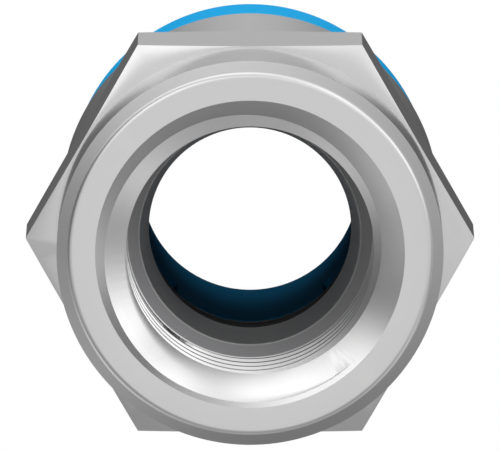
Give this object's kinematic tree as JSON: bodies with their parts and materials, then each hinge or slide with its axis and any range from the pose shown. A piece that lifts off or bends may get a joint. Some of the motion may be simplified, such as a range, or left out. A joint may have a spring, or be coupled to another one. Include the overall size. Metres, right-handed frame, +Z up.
{
  "type": "push-in fitting",
  "caption": "Straight push-in fitting with a female pipe thread, a hexagon and a release ring for round tube.",
  "frame": {"origin": "centre of the flat ring round the thread's mouth", "axes": "+Y along the axis, from the thread's mouth to the tube port; +Z up through one flat of the hexagon, +X through a corner"},
  "size_m": [0.0208, 0.028, 0.018],
  "materials": {
    "nickel_plating": "turned brass with a satin nickel plating",
    "nitrile_rubber": "black nitrile rubber",
    "black_plastic": "black acetal",
    "spring_steel": "stamped stainless spring steel",
    "plated_brass": "turned brass with a thin nickel plating",
    "blue_plastic": "moulded blue acetal"
  },
  "bodies": {
    "fitting": {"housing": "nickel_plating", "tube_seal": "nitrile_rubber", "support_ring": "black_plastic", "clamping_ring": "spring_steel", "retaining_sleeve": "plated_brass"},
    "release": {"release_ring": "blue_plastic"}
  },
  "joints": [
    {"name": "release_slide", "type": "slide", "parent": "fitting", "child": "release", "axis": [0, -1, 0], "range_m": [0, 0.0016], "stiffness_N_per_m": 5000, "deforming": ["clamping_ring"]}
  ]
}
